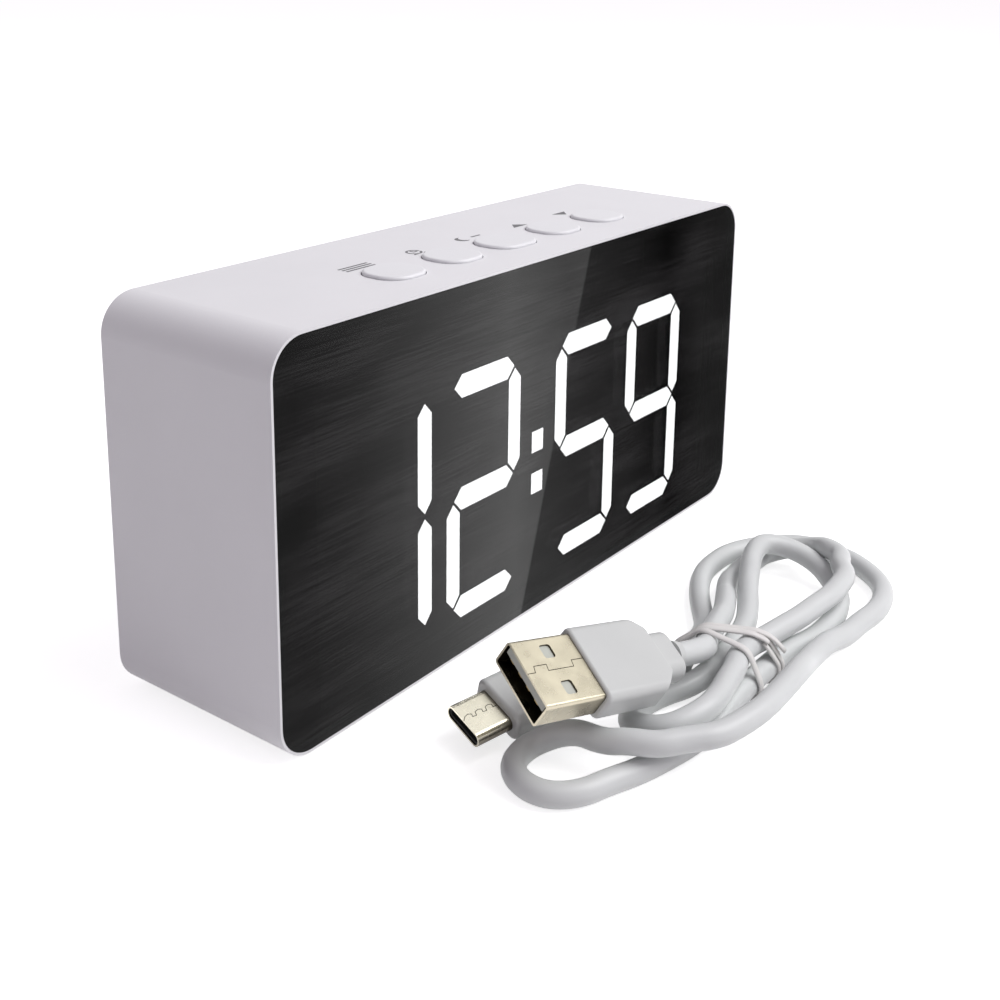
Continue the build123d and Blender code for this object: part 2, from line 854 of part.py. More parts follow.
def small_plug_mould():
    outline = RectangleRounded(small_mould_width, small_mould_height, small_mould_corner)
    back_end = small_length + small_mould_length
    body = beam(outline, -back_end, -small_length)
    ends = body.edges().group_by(Axis.X)
    return fillet(ends[0] + ends[-1], small_mould_round) + relief(back_end, small_relief_length)


# The cable's route: x, y, height of its middle, heading in degrees and slope.
# The small plug's lead goes out along the outer loop, whose near side folds back in the left
# curl, comes out again as the middle loop, folds back in the left inner loop under the large
# plug, and ends in the inner loop, which runs to the large plug.
outer_loop = [
    (-8.0, -52.3, tied_level, 8.0, 0.0),
    (12.0, -44.2, floor_level, 35.0, 0.0),
    (31.0, -38.0, floor_level, 0.0, 0.0),
    (50.8, -53.0, floor_level, -90.0, 0.0),
    (31.0, -73.0, floor_level, 180.0, 0.0),
    (7.0, -74.8, upper_level, 180.0, 0.0),
]
left_curl = [
    (-24.0, -74.0, upper_level, 172.0, 0.0),
    (-37.0, -64.8, upper_level, 118.0, 0.0),
    (-41.2, -57.6, 6.1, 92.0, 0.0),
    (-48.8, -46.8, floor_level, 184.0, 0.0),
    (-55.6, -55.0, floor_level, 270.0, 0.0),
    (-46.6, -62.7, floor_level, -20.0, 0.0),
    (-25.0, -66.2, floor_level, -8.0, 0.0),
]
middle_loop = [
    (-8.0, -69.0, tied_level, -5.0, 0.0),
    (5.0, -70.2, 2.6, 2.0, 0.0),
    (24.0, -67.0, floor_level, 25.0, 0.0),
    (34.5, -61.8, floor_level, 28.0, 0.0),
    (44.9, -51.3, 2.8, 90.0, 0.0),
    (36.2, -42.6, 6.85, 182.0, 0.0),
    (24.0, -49.6, 5.8, 212.0, 0.0),
    (10.0, -55.5, floor_level, 198.0, 0.0),
    (-8.0, -58.4, tied_level, 180.0, 0.0),
]
left_inner_loop = [
    (-23.3, -53.4, floor_level, 178.0, 0.0),
    (-31.2, -61.7, 5.7, 270.0, 0.3),
    (-23.0, -69.0, 6.85, 0.0, 0.0),
    (-16.5, -66.6, 6.9, 32.0, 0.0),
    (-8.0, -62.8, 5.0, 8.0, 0.0),
]
inner_loop = [
    (20.0, -65.5, upper_level, 0.0, 0.0),
    (40.4, -55.5, upper_level, 90.0, 0.0),
    (30.5, -44.1, floor_level, 180.0, 0.0),
    (18.0, -46.8, 2.2, 206.0, 0.0),
    (8.0, -51.4, 4.7, 204.0, 0.0),
    (-2.0, -54.9, 6.9, 190.0, 0.0),
]


def cable_end(nose, turn, reach):
    """Where a plug's strain relief ends, and the way from there out along the cable."""
    place = plug_place(nose, turn)
    end = (place * Pos(-reach, 0, 0)).position
    return end, (end - Vector(*nose)).normalized()


def cable_stations():
    """Places along the cable with the way it runs there, from the small plug to the large one."""
    small_reach = small_length + small_mould_length + small_relief_length
    first, out = cable_end(small_nose, small_turn, small_reach)
    stations = [(first, out), (first + out * cable_diameter, out)]
    for x, y, z, heading, slope in outer_loop + left_curl + middle_loop + left_inner_loop + inner_loop:
        flat = Vector(1, 0, 0).rotate(Axis.Z, heading)
        stations.append((Vector(x, y, z), Vector(flat.X, flat.Y, slope).normalized()))
    large_reach = large_length + large_mould_length + large_relief_length
    last, away = cable_end(large_nose, large_turn, large_reach)
    return stations + [(last + away * cable_diameter, -away), (last, -away)]


def arc(start, way, end):
    """The arc that leaves the start along the way, or a line where it doesn't turn."""
    if (end - start).normalized().dot(way) > straight_share:
        return Edge.make_line(start, end)
    return Edge.make_tangent_arc(start, way, end)


def biarc(start, start_way, end, end_way):
    """Two arcs that leave the start along its way and reach the end along its own."""
    span = end - start
    turn = 2 * (1 - start_way.dot(end_way))
    along = span.dot(start_way + end_way)
    if turn < level_turn:
        reach = span.dot(span) / (2 * along)
    else:
        reach = (-along + (along**2 + turn * span.dot(span)) ** (1 / 2)) / turn
    middle = (start + end + (start_way - end_way) * reach) / 2
    middle_way = (middle - start - start_way * reach).normalized()
    return [arc(start, start_way, middle), arc(middle, middle_way, end)]


def cable_route():
    stations = cable_stations()
    edges = [Edge.make_line(stations[0][0], stations[1][0])]
    for (start, start_way), (end, end_way) in zip(stations[1:-2], stations[2:-1]):
        edges += biarc(start, start_way, end, end_way)
    edges.append(Edge.make_line(stations[-2][0], stations[-1][0]))
    return edges


def route_points(edges):
    points = []
    for edge in edges:
        steps = max(2, round(edge.length / gap_step))
        points += [tuple(edge @ (n / steps)) for n in range(steps)]
    return points


def least_gap(points):
    """The least space between two stretches of the cable that aren't neighbours."""
    skip = round(gap_skip / gap_step)
    closest = min(
        dist(point, other)
        for n, point in enumerate(points)
        for other in points[n + skip:]
    )
    return closest - cable_diameter


def cable_hank(edges):
    start = Plane(origin=edges[0] @ 0, z_dir=edges[0] % 0)
    return sweep(start * Circle(cable_diameter / 2), path=Wire(edges))


def tie_band(points, number):
    """One turn of the tie, close round the strands that it holds."""
    place = Pos(tie_far_x + number * tie_spacing, tie_far_y, 0) * Rot(0, 0, tie_angles[number])
    back_again = place.inverse()
    strands = []
    for point in points:
        if point[1] > tie_near_y:
            local = (back_again * Pos(*point)).position
            if abs(local.X) < tie_width:
                strands.append(local)
    inner = [Pos(s.Y, s.Z) * Circle(cable_diameter / 2 + tie_gap) for s in strands]
    outer = [Pos(s.Y, s.Z) * Circle(cable_diameter / 2 + tie_gap + tie_thickness) for s in strands]
    ring = make_hull(Sketch(children=outer).edges()) - make_hull(Sketch(children=inner).edges())
    return place * beam(ring, -tie_width / 2, tie_width / 2)


def cable_tie(points):
    return [tie_band(points, number) for number in range(len(tie_angles))]


route = cable_route()
bends = [edge.radius for edge in route if edge.geom_type == GeomType.CIRCLE]
spread = route_points(route)
print("cable length", round(sum(edge.length for edge in route), 1))
print("cable bend radii", [round(radius, 1) for radius in bends])
print("cable least gap to itself", round(least_gap(spread), 2))

parts = {
    "housing": housing(),
    "front_lens": front_lens(),
    "lens_tape": lens_tape(),
    "foot_pads": foot_pads(),
    "digit_reflector": digit_reflector(),
    "unlit_segments": unlit_segments(),
    "colon_segments": [fill(dot) for dot in colon_dots(segment_gap)],
    "segment_leds": segment_leds(),
    "display_board": display_board(),
    "display_driver": display_driver(),
    "key_switches": key_switches(),
    "key_board": key_board(),
    "rear_cover": rear_cover(),
    "battery_door": battery_door(),
    "battery_plates": battery_plates(),
    "battery_springs": battery_springs(),
    "main_board": main_board(),
    "microcontroller": microcontroller(),
    "clock_crystal": clock_crystal(),
    "buzzer": buzzer(),
    "usb_port_shell": usb_port_shell(),
    "usb_port_tongue": usb_port_tongue(),
    "rear_screws": rear_screws(),
    "board_screws": board_screws(),
    "display_ribbon": display_ribbon(),
    "key_ribbon": key_ribbon(),
    "battery_wire_red": battery_wire(door_z + wire_spread / 2),
    "battery_wire_black": battery_wire(door_z - wire_spread / 2),
}
for number in range(len(digit_centres)):
    parts[f"digit_{number + 1}_segments"] = lit_segments(number)
for name, x in zip(key_names, key_places):
    parts[f"{name}_button"] = button(name, x)
    parts[f"{name}_plunger"] = plunger(x)
for row in range(len(cell_rows)):
    parts[f"battery_cell_{row + 1}"] = cell(row)
large_plug = plug_place(large_nose, large_turn)
small_plug = plug_place(small_nose, small_turn)
parts["usb_a_shell"] = large_plug * large_plug_shell()
parts["usb_a_tongue"] = large_plug * large_plug_tongue()
parts["usb_a_contacts"] = [large_plug * strip_solid for strip_solid in large_plug_contacts()]
parts["usb_a_overmold"] = large_plug * large_plug_mould()
parts["small_plug_shell"] = small_plug * small_plug_shell()
parts["small_plug_insert"] = small_plug * small_plug_insert()
parts["small_plug_overmold"] = small_plug * small_plug_mould()
parts["cable_hank"] = cable_hank(route)
parts["cable_tie"] = cable_tie(spread)
tube_section = pi * cable_diameter**2 / 4
print("cable volume", round(parts["cable_hank"].volume),
      "section times length", round(tube_section * sum(edge.length for edge in route)))

os.makedirs("parts", exist_ok=True)
for node, shape in parts.items():
    solids = shape if isinstance(shape, list) else [shape]
    group = Compound(children=[s.solid() if len(s.solids()) == 1 else s for s in solids])
    export_step(group if len(solids) > 1 else solids[0], f"parts/{node}.step")
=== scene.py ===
import math

import bmesh
import bpy
from mathutils import Matrix, Vector


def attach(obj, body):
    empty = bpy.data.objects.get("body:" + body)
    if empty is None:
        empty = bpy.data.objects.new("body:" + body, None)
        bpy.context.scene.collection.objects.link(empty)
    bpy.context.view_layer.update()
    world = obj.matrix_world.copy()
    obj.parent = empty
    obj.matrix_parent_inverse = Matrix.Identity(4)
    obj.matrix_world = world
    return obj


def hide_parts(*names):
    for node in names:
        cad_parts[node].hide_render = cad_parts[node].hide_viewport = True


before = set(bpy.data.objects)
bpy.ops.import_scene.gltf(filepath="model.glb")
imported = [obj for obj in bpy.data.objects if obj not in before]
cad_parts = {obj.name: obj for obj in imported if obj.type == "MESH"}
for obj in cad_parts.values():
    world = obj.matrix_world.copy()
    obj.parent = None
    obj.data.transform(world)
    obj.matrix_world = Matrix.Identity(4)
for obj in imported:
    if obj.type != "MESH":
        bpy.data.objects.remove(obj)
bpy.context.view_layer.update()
MM = 0.001
scene = bpy.context.scene
scene.view_settings.view_transform = "Standard"

# ---------------------------------------------------------------- camera

# The camera that was fitted to the case's outline in the photo. Its place is in millimetres.
CAMERA_PLACE = (-196.5, -154.73, 123.76)
CAMERA_YAW = math.radians(53.835)
CAMERA_PITCH = math.radians(13.695)
CAMERA_ROLL = math.radians(0.913)
CAMERA_SENSOR = 36
CAMERA_LENS = 48.95
CAMERA_SHIFT = (-0.02, -0.23)
CAMERA_CLIP = (0.01, 20)


def make_camera():
    ahead = Vector((
        math.sin(CAMERA_YAW) * math.cos(CAMERA_PITCH),
        math.cos(CAMERA_YAW) * math.cos(CAMERA_PITCH),
        -math.sin(CAMERA_PITCH),
    ))
    right = Vector((math.cos(CAMERA_YAW), -math.sin(CAMERA_YAW), 0))
    up = right.cross(ahead)
    turned = right * math.cos(CAMERA_ROLL) + up * math.sin(CAMERA_ROLL)
    raised = up * math.cos(CAMERA_ROLL) - right * math.sin(CAMERA_ROLL)
    data = bpy.data.cameras.new("camera")
    data.sensor_width = CAMERA_SENSOR
    data.sensor_fit = "HORIZONTAL"
    data.lens = CAMERA_LENS
    data.shift_x, data.shift_y = CAMERA_SHIFT
    data.clip_start, data.clip_end = CAMERA_CLIP
    camera = bpy.data.objects.new("camera", data)
    scene.collection.objects.link(camera)
    turn = Matrix((turned, raised, -ahead)).transposed().to_4x4()
    camera.matrix_world = Matrix.Translation(Vector(CAMERA_PLACE) * MM) @ turn
    scene.camera = camera


make_camera()

# ---------------------------------------------------------------- materials

# The shares of a noise between which a cloudy surface goes from its darker to its lighter tone
CLOUD_LOW = 0.3
CLOUD_HIGH = 0.7
# How deep a fine grain is, in metres
GRAIN_DEPTH = 0.0002
SHEET_GRAIN_DEPTH = 0.0001
# How near other surfaces must come for painted shade to darken the hollows of a plug, in metres,
# and how fast
PAINTED_SHADE_REACH = 0.006
PAINTED_SHADE_POWER = 3.0
PAINTED_SHADE_SAMPLES = 8


class Nodes:
    """Small helper that adds shader nodes to one material or world."""

    def __init__(self, owner, output="ShaderNodeOutputMaterial"):
        owner.use_nodes = True
        self.owner = owner
        self.tree = owner.node_tree
        self.tree.nodes.clear()
        self.out = self.tree.nodes.new(output)
        self.place = None

    def add(self, kind, **values):
        node = self.tree.nodes.new(kind)
        for key, value in values.items():
            setattr(node, key, value)
        return node

    def feed(self, socket, value):
        """Gives a socket its value: another socket, a colour, or a plain value."""
        if isinstance(value, bpy.types.NodeSocket):
            self.tree.links.new(value, socket)
        elif socket.type == "RGBA":
            socket.default_value = (*value, 1)
        else:
            socket.default_value = value

    def coords(self):
        if self.place is None:
            self.place = self.add("ShaderNodeTexCoord").outputs["Object"]
        return self.place

    def noise(self, scale, detail, stretch=(1, 1, 1)):
        place = self.add("ShaderNodeMapping")
        self.feed(place.inputs["Scale"], stretch)
        self.feed(place.inputs["Vector"], self.coords())
        node = self.add("ShaderNodeTexNoise")
        self.feed(node.inputs["Scale"], scale)
        self.feed(node.inputs["Detail"], detail)
        self.feed(node.inputs["Vector"], place.outputs["Vector"])
        return node.outputs["Fac"]

    def ramp(self, value, stops):
        node = self.add("ShaderNodeValToRGB")
        line = node.color_ramp
        while len(line.elements) < len(stops):
            line.elements.new(0.5)
        for element, (place, colour) in zip(line.elements, stops):
            element.position = place
            element.color = (*colour, 1)
        self.feed(node.inputs["Fac"], value)
        return node.outputs["Color"]

    def cloudy(self, value, dark, light):
        return self.ramp(value, [(CLOUD_LOW, dark), (CLOUD_HIGH, light)])

    def span(self, value, low, high):
        node = self.add("ShaderNodeMapRange")
        self.feed(node.inputs["To Min"], low)
        self.feed(node.inputs["To Max"], high)
        self.feed(node.inputs["Value"], value)
        return node.outputs["Result"]

    def math(self, kind, a, b):
        node = self.add("ShaderNodeMath", operation=kind)
        self.feed(node.inputs[0], a)
        self.feed(node.inputs[1], b)
        return node.outputs[0]

    def blend(self, share, first, second, kind="MIX"):
        """Two colours as one."""
        node = self.add("ShaderNodeMix", data_type="RGBA", blend_type=kind)
        self.feed(node.inputs[0], share)
        self.feed(node.inputs[6], first)
        self.feed(node.inputs[7], second)
        return node.outputs[2]

    def mixed(self, share, first, second):
        """Two shaders as one."""
        node = self.add("ShaderNodeMixShader")
        for socket, value in zip(node.inputs, (share, first, second)):
            self.feed(socket, value)
        return node.outputs[0]

    def with_painted_shade(self, base, painted_shade):
        """A colour that turns into a painted shade colour in hollows, where other surfaces are
        near.
        """
        occlusion = self.add("ShaderNodeAmbientOcclusion", samples=PAINTED_SHADE_SAMPLES)
        self.feed(occlusion.inputs["Distance"], PAINTED_SHADE_REACH)
        return self.blend(self.math("POWER", occlusion.outputs["AO"], PAINTED_SHADE_POWER), painted_shade, base)

    def seen(self):
        """1 where the camera, a mirror or glass looks, and 0 where the place only gives light."""
        path = self.add("ShaderNodeLightPath")
        rays = self.math("MAXIMUM", path.outputs["Is Camera Ray"], path.outputs["Is Glossy Ray"])
        return self.math("MAXIMUM", rays, path.outputs["Is Transmission Ray"])

    def principled(self, **values):
        node = self.add("ShaderNodeBsdfPrincipled")
        for key, value in values.items():
            self.feed(node.inputs[key.replace("_", " ")], value)
        return node

    def clear(self, tint=1.0):
        node = self.add("ShaderNodeBsdfTransparent")
        self.feed(node.inputs["Color"], (tint,) * 3)
        return node.outputs[0]

    def emission(self, strength, colour=(1, 1, 1)):
        node = self.add("ShaderNodeEmission")
        self.feed(node.inputs["Color"], colour)
        self.feed(node.inputs["Strength"], strength)
        return node.outputs[0]

    def bump(self, height, strength, distance, target):
        node = self.add("ShaderNodeBump")
        self.feed(node.inputs["Strength"], strength)
        self.feed(node.inputs["Distance"], distance)
        self.feed(node.inputs["Height"], height)
        self.feed(target.inputs["Normal"], node.outputs["Normal"])

    def finish(self, shader):
        self.feed(self.out.inputs["Surface"], shader)
        return self.owner


def new_material(name):
    return Nodes(bpy.data.materials.new(name))


def darker(colour, share):
    return tuple(c * (1 - share) for c in colour)


def greys(stops):
    return [(place, (tone,) * 3) for place, tone in stops]


def surface(name, tones, cloud, uneven, rough, grain, depth=GRAIN_DEPTH, painted_shade=None, **looks):
    """A surface with a faint cloud in its colour, an uneven gloss and a fine grain.

    cloud, uneven and grain hold their noise's scale and detail, and grain also its strength.
    """
    m = new_material(name)
    base = m.cloudy(m.noise(*cloud), *tones)
    # Painted shade: the colour darkens in hollows, where other surfaces are near.
    if painted_shade:
        base = m.with_painted_shade(base, painted_shade)
    p = m.principled(Base_Color=base, Roughness=m.span(m.noise(*uneven), *rough), **looks)
    scale, detail, strength = grain
    m.bump(m.noise(scale, detail), strength, depth, p)
    return m.finish(p.outputs[0])


def moulded(name, colour, roughness, grain=0.02, shade=0.03, coat=0.0, shine=0.5):
    """Moulded plastic."""
    return surface(
        name, tones=(darker(colour, shade), colour), cloud=(60, 4), uneven=(900, 2),
        rough=(roughness - 0.05, roughness + 0.06), grain=(2600, 3, grain),
        Coat_Weight=coat, Specular_IOR_Level=shine,
    )


def plated(name, colour, roughness, painted_shade=None):
    """Plated sheet metal with a few dull patches, and painted shade in its hollows if a shade
    colour is given.
    """
    return surface(
        name, tones=(darker(colour, 0.1), colour), cloud=(260, 5), uneven=(420, 5),
        rough=(roughness - 0.08, roughness + 0.14), grain=(1500, 4, 0.08),
        depth=SHEET_GRAIN_DEPTH, painted_shade=painted_shade, Metallic=1.0,
    )


def vinyl(name, colour):
    """Soft vinyl with a satin gloss."""
    return surface(
        name, tones=(darker(colour, 0.04), colour), cloud=(90, 4), uneven=(500, 3),
        rough=(0.34, 0.46), grain=(1300, 3, 0.05), Specular_IOR_Level=0.45,
    )


LENS_TONES = [(0.17, 0.001), (0.26, 0.007), (0.36, 0.024)]
LENS_SOLID = 0.8
LENS_TINT = 0.97


def lens_material():
    """Dark see-through mirror film with fine streaks along the width."""
    m = new_material("mirror_lens")
    fine = m.noise(scale=1.0, detail=2, stretch=(60, 60, 4600))
    broad = m.noise(scale=1.0, detail=2, stretch=(34, 34, 110))
    base = m.ramp(m.math("MULTIPLY", fine, broad), greys(LENS_TONES))
    p = m.principled(Base_Color=base, Roughness=0.02, IOR=1.5)
    return m.finish(m.mixed(LENS_SOLID, m.clear(LENS_TINT), p.outputs[0]))


def lit_material():
    """Frosted diffuser with a lamp behind it."""
    m = new_material("lit_diffuser")
    glow = m.cloudy(m.noise(scale=300, detail=2), (0.97, 0.985, 1.0), (1.0, 1.0, 1.0))
    p = m.principled(
        Base_Color=(0.9, 0.9, 0.9), Roughness=0.6, Emission_Color=glow, Emission_Strength=28.0,
    )
    return m.finish(p.outputs[0])


BOARD_CELLS = 420
BOARD_PADS = [(0.16, (0.55, 0.52, 0.36)), (0.22, (0.02, 0.12, 0.05))]
BOARD_TRACKS = [(0.48, (0.015, 0.10, 0.04)), (0.52, (0.03, 0.16, 0.07))]


def board_material():
    """Green solder mask with pale pads and faint tracks."""
    m = new_material("circuit_board")
    cells = m.add("ShaderNodeTexVoronoi")
    m.feed(cells.inputs["Scale"], BOARD_CELLS)
    m.feed(cells.inputs["Vector"], m.coords())
    pads = m.ramp(cells.outputs["Distance"], BOARD_PADS)
    tracks = m.ramp(m.noise(scale=500, detail=2, stretch=(1, 1, 6)), BOARD_TRACKS)
    p = m.principled(Base_Color=m.blend(1.0, pads, tracks, "LIGHTEN"), Roughness=0.35)
    return m.finish(p.outputs[0])


WHITE = surface(
    "white_shell", tones=((0.775, 0.775, 0.795), (0.80, 0.80, 0.82)), cloud=(45, 4),
    uneven=(700, 2), rough=(0.42, 0.52), grain=(2200, 4, 0.05),
)
KEY_WHITE = moulded("key_white", (0.80, 0.805, 0.825), 0.45)
LENS = lens_material()
LIT = lit_material()
BLACK = moulded("black_plastic", (0.002, 0.002, 0.002), 0.7, shine=0.0)
CHIP = moulded("chip_plastic", (0.02, 0.02, 0.022), 0.5)
TAPE = moulded("black_tape", (0.002, 0.002, 0.002), 0.8, shine=0.0)
UNLIT = moulded("unlit_diffuser", (0.002, 0.002, 0.002), 0.6, shine=0.0)
RUBBER = moulded("foot_rubber", (0.05, 0.05, 0.05), 0.8, grain=0.1)
BOARD = board_material()
TIN = plated("tin_can", (0.72, 0.72, 0.70), 0.3)
STEEL = plated("screw_steel", (0.6, 0.6, 0.6), 0.35)
# Painted shade darkens the hollows of the plug shells and of the gold contacts.
PLUG_METAL = plated("plug_metal", (0.58, 0.53, 0.41), 0.26, painted_shade=(0.045, 0.035, 0.02))
SMALL_METAL = plated("small_plug_metal", (0.93, 0.88, 0.73), 0.24, painted_shade=(0.04, 0.03, 0.02))
TONGUE = moulded("tongue_plastic", (0.52, 0.54, 0.48), 0.5)
GOLD = plated("gold_contact", (0.34, 0.25, 0.12), 0.3, painted_shade=(0.05, 0.03, 0.01))
RIBBON = moulded("ribbon_plastic", (0.62, 0.62, 0.58), 0.4)
RED = moulded("red_wire", (0.45, 0.02, 0.02), 0.4)
DARK_WIRE = moulded("black_wire", (0.01, 0.01, 0.01), 0.4)
CELL = moulded("cell_jacket", (0.06, 0.07, 0.09), 0.3, grain=0.01, shade=0.2, coat=0.4)
LED = moulded("led_package", (0.85, 0.80, 0.55), 0.3)
CABLE = vinyl("white_cable", (0.66, 0.68, 0.675))
MOULD = vinyl("white_overmould", (0.585, 0.600, 0.590))
PRINT = moulded("grey_print", (0.16, 0.16, 0.17), 0.6, shade=0.2)
TIE = moulded("white_tie", (0.75, 0.74, 0.72), 0.5, grain=0.1, shade=0.06)

NODE_MATERIALS = {
    "housing": WHITE, "rear_cover": WHITE, "battery_door": WHITE,
    "front_lens": LENS, "lens_tape": TAPE, "foot_pads": RUBBER,
    "digit_reflector": BLACK, "unlit_segments": UNLIT, "colon_segments": LIT,
    "segment_leds": LED, "display_board": BOARD, "key_board": BOARD, "main_board": BOARD,
    "display_driver": CHIP, "microcontroller": CHIP, "buzzer": CHIP, "key_switches": CHIP,
    "clock_crystal": TIN, "battery_plates": TIN, "battery_springs": TIN,
    "usb_port_shell": TIN, "usb_port_tongue": CHIP, "rear_screws": STEEL, "board_screws": STEEL,
    "display_ribbon": RIBBON, "key_ribbon": RIBBON, "battery_wire_red": RED,
    "battery_wire_black": DARK_WIRE, "usb_a_shell": PLUG_METAL, "small_plug_shell": SMALL_METAL,
    "usb_a_contacts": GOLD, "usb_a_tongue": TONGUE, "small_plug_insert": CHIP,
    "usb_a_overmold": MOULD, "small_plug_overmold": MOULD, "cable_hank": CABLE, "cable_tie": TIE,
}
for number in range(1, 5):
    NODE_MATERIALS[f"digit_{number}_segments"] = LIT
for number in range(1, 4):
    NODE_MATERIALS[f"battery_cell_{number}"] = CELL
for key in ("mode", "alarm", "snooze", "up", "down"):
    NODE_MATERIALS[f"{key}_button"] = KEY_WHITE
    NODE_MATERIALS[f"{key}_plunger"] = CHIP

for name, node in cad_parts.items():
    if not node.material_slots:
        node.data.materials.append(NODE_MATERIALS[name])
    for slot in node.material_slots:
        slot.material = NODE_MATERIALS[name]

# ---------------------------------------------------------------- cable

# Sizes and places are in millimetres, angles in degrees.
CABLE_DIAMETER = 4.0
CABLE_STEPS = 10
CABLE_BEVEL_STEPS = 8
# A change of way so small that a stretch of the route counts as straight
STRAIGHT = 1e-6
# How high a strand's middle line is inside the tie, on the table and on top of another strand
TIED = 2.85
LYING = 2.05
UPPER = 6.75
# Each plug's nose, its heading, its lift, and how far behind the nose the cable leaves it
SMALL_PLUG = (Vector((-48.1, -36.6, 4.0)), 165.5, -3.0, 24.6)
LARGE_PLUG = (Vector((-51.6, -50.2, 18.0)), 166.7, 12.2, 34.0)
# The route from the small plug to the large one: x, y, z, heading, and rise for each unit of way
STATIONS = [
    # the outer loop
    (-8.5, -53.0, TIED, 14.0, 0.0),
    (10.0, -47.2, LYING, 36.0, 0.0),
    (20.5, -40.6, LYING, 26.0, 0.0),
    (32.0, -37.9, LYING, -2.0, 0.0),
    (50.4, -54.5, LYING, -94.0, 0.0),
    (44.6, -66.6, LYING, -132.0, 0.0),
    (34.5, -71.6, LYING, -172.0, 0.0),
    (22.5, -71.3, 2.2, 179.0, 0.0),
    (8.5, -70.7, 3.9, 181.0, 0.0),
    (-8.5, -72.9, 6.4, 183.0, 0.0),
    # the left curl
    (-22.0, -73.0, UPPER, 172.0, 0.0),
    (-31.8, -69.6, UPPER, 138.0, 0.0),
    (-38.2, -63.2, 6.6, 114.0, 0.0),
    (-40.0, -55.4, 5.4, 91.0, 0.0),
    (-46.4, -46.3, LYING, 186.0, 0.0),
    (-52.2, -52.9, LYING, 268.0, 0.0),
    (-46.3, -60.1, LYING, -18.0, 0.0),
    (-36.5, -63.7, LYING, -15.0, 0.0),
    (-24.0, -66.0, LYING, -4.0, 0.0),
    # the middle loop
    (-10.0, -65.4, 2.75, 2.0, 0.0),
    (4.0, -65.4, 2.75, -3.0, 0.0),
    (17.5, -67.0, LYING, -3.0, 0.0),
    (27.0, -66.2, LYING, 14.0, 0.0),
    (34.6, -63.0, LYING, 36.0, 0.0),
    (39.9, -53.4, 4.9, 92.0, 0.3),
    (33.6, -46.3, 7.0, 182.0, 0.0),
    (27.5, -47.8, 6.6, 202.0, 0.0),
    (20.5, -50.9, 6.0, 204.0, 0.0),
    (11.0, -55.6, 4.6, 203.0, 0.0),
    (-8.0, -58.2, TIED, 184.0, 0.0),
    # the left inner loop
    (-23.5, -54.0, LYING, 176.0, 0.0),
    (-31.6, -60.4, 4.8, 268.0, 0.3),
    (-23.0, -66.4, 6.9, 0.0, 0.0),
    (-13.0, -64.8, 6.9, 10.0, 0.0),
    (-5.0, -62.8, 6.85, 6.0, 0.0),
    # the inner loop
    (4.0, -63.8, UPPER, -8.0, 0.0),
    (15.0, -65.3, UPPER, -4.0, 0.0),
    (26.0, -66.0, 6.9, 4.0, 0.0),
    (34.8, -63.6, 6.9, 40.0, 0.0),
    (41.2, -59.0, 7.0, 66.0, 0.0),
    (44.4, -52.2, 4.8, 92.0, -0.3),
    (37.6, -44.6, 2.6, 180.0, 0.0),
    (31.0, -43.6, LYING, 188.0, 0.0),
    (21.0, -46.2, 3.2, 205.0, 0.0),
    (12.3, -50.4, 5.0, 205.0, 0.0),
    (-2.5, -55.4, 7.0, 193.0, 0.0),
]


def plug_back(nose, heading, lift, reach):
    """Where the cable leaves a plug, and which way it goes there."""
    turn = Matrix.Rotation(math.radians(heading), 4, "Z")
    away = turn @ Matrix.Rotation(-math.radians(lift), 4, "Y") @ Vector((-1, 0, 0))
    return nose + away * reach, away


def cable_corners():
    """The corners of the route: two for each pair of stations."""
    first, away = plug_back(*SMALL_PLUG)
    last, back = plug_back(*LARGE_PLUG)
    ways = [(first + away * CABLE_DIAMETER, away)]
    for x, y, z, heading, rise in STATIONS:
        angle = math.radians(heading)
        way = Vector((math.cos(angle), math.sin(angle), rise)).normalized()
        ways.append((Vector((x, y, z)), way))
    ways.append((last + back * CABLE_DIAMETER, -back))
    corners = [first]
    for (start, leave), (end, arrive) in zip(ways, ways[1:]):
        span = end - start
        turn = 2 * (1 - leave.dot(arrive))
        along = span.dot(leave + arrive)
        if turn < STRAIGHT:
            reach = span.dot(span) / (2 * along)
        else:
            reach = (-along + math.sqrt(along**2 + turn * span.dot(span))) / turn
        corners += [start + leave * reach, end - arrive * reach]
    return corners + [last]


def cord_object(name, corners, radius, material):
    data = bpy.data.curves.new(name, "CURVE")
    data.dimensions = "3D"
    data.resolution_u = CABLE_STEPS
    data.bevel_depth = radius
    data.bevel_resolution = CABLE_BEVEL_STEPS
    data.use_fill_caps = True
    spline = data.splines.new("NURBS")
    spline.points.add(len(corners) - 1)
    for point, corner in zip(spline.points, corners):
        point.co = (*(corner * MM), 1)
    spline.order_u = 3
    spline.use_endpoint_u = True
    data.materials.append(material)
    curve = bpy.data.objects.new(name, data)
    scene.collection.objects.link(curve)
    return curve


def middle_line(curve):
    """The points of a cord's middle line, in millimetres, read from its spline."""
    bare = curve.copy()
    bare.data = curve.data.copy()
    bare.data.bevel_depth = 0
    mesh = bpy.data.meshes.new_from_object(bare)
    points = [v.co / MM for v in mesh.vertices]
    bpy.data.meshes.remove(mesh)
    data = bare.data
    bpy.data.objects.remove(bare)
    bpy.data.curves.remove(data)
    return points


def mesh_object(name, verts, faces, material, smooth=True):
    data = bpy.data.meshes.new(name)
    data.from_pydata([tuple(v) for v in verts], [], faces)
    data.materials.append(material)
    for face in data.polygons:
        face.use_smooth = smooth
    piece = bpy.data.objects.new(name, data)
    scene.collection.objects.link(piece)
    return piece


def rework(piece, change):
    """Runs one change on a piece's mesh."""
    shape = bmesh.new()
    shape.from_mesh(piece.data)
    change(shape)
    shape.to_mesh(piece.data)
    shape.free()


# ---------------------------------------------------------------- tie

